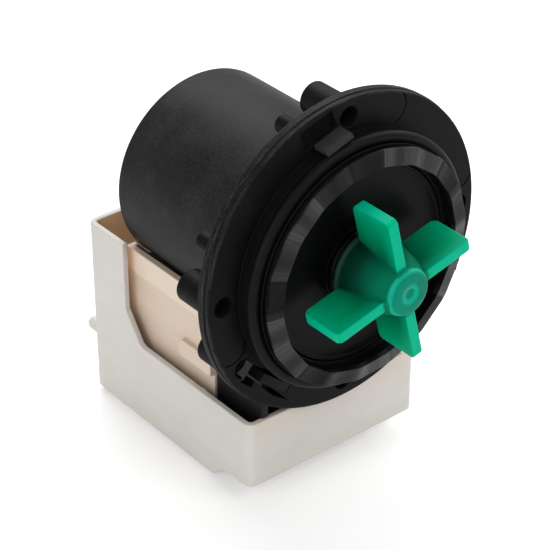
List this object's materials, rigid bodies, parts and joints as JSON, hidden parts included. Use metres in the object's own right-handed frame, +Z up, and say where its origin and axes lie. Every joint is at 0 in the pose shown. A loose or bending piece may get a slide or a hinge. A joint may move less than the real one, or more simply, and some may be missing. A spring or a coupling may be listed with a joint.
{
  "type": "washing machine drain pump",
  "caption": "Washing machine drain pump: a bladed impeller in a round flanged head, with its motor behind in a black shroud and its coils in a box over an open tray.",
  "frame": {"origin": "the pump axis where it meets the flange's front face, which is the sealing face", "axes": "+Y along the pump axis from the impeller to the motor; +Z up, away from the tray's underside; +X to the right, seen from the impeller's side"},
  "size_m": [0.096, 0.1122, 0.123],
  "materials": {
    "head_black": "fine moulded texture, slightly worn-in satin",
    "shroud_black": "fine moulded texture",
    "bracket_black": "plain moulded",
    "plate_black": "smooth, slightly glossy",
    "seal_rubber": "smooth black rubber",
    "mount_rubber": "black rubber",
    "bumper_rubber": "black rubber",
    "bush_ceramic": "ground",
    "core_steel": "stacked sheet",
    "bobbin_plastic": "plain moulded",
    "winding_wire": "enamelled copper wire",
    "housing_beige": "warm beige, fine moulded texture",
    "cutout_case": "plain moulded",
    "terminal_metal": "tinned",
    "cover_grey": "warm light grey, satin",
    "shaft_steel": "ground",
    "sleeve_plastic": "plain moulded",
    "magnet_ferrite": "ground",
    "impeller_green": "smooth, slightly translucent green",
    "collar_green": "smooth, darker green"
  },
  "bodies": {
    "stator": {"pump_head": "head_black", "seal_ring": "seal_rubber", "bearing_plate": "plate_black", "front_bush_mount": "mount_rubber", "front_bush": "bush_ceramic", "rear_bush_mount": "mount_rubber", "rear_bush": "bush_ceramic", "motor_shroud": "shroud_black", "stator_bracket": "bracket_black", "stator_poles": "core_steel", "core_yoke": "core_steel", "bobbin_left": "bobbin_plastic", "bobbin_right": "bobbin_plastic", "winding_left": "winding_wire", "winding_right": "winding_wire", "coil_housing": "housing_beige", "thermal_cutout": "cutout_case", "terminal_left": "terminal_metal", "terminal_right": "terminal_metal", "stator_cover": "cover_grey"},
    "rotor": {"rotor_shaft": "shaft_steel", "rotor_sleeve": "sleeve_plastic", "rotor_magnet": "magnet_ferrite", "front_washer": "sleeve_plastic", "rear_washer": "sleeve_plastic", "drive_dog": "sleeve_plastic"},
    "wheel": {"impeller": "impeller_green", "hub_collar": "collar_green", "hub_bumper": "bumper_rubber"}
  },
  "joints": [
    {"name": "rotor_spin", "type": "hinge", "parent": "stator", "child": "rotor", "pos_m": [0, 0, 0], "axis": [0, 1, 0], "continuous": true},
    {"name": "clutch_play", "type": "hinge", "parent": "rotor", "child": "wheel", "pos_m": [0, 0, 0], "axis": [0, 1, 0], "range_deg": [-118, 118]}
  ]
}
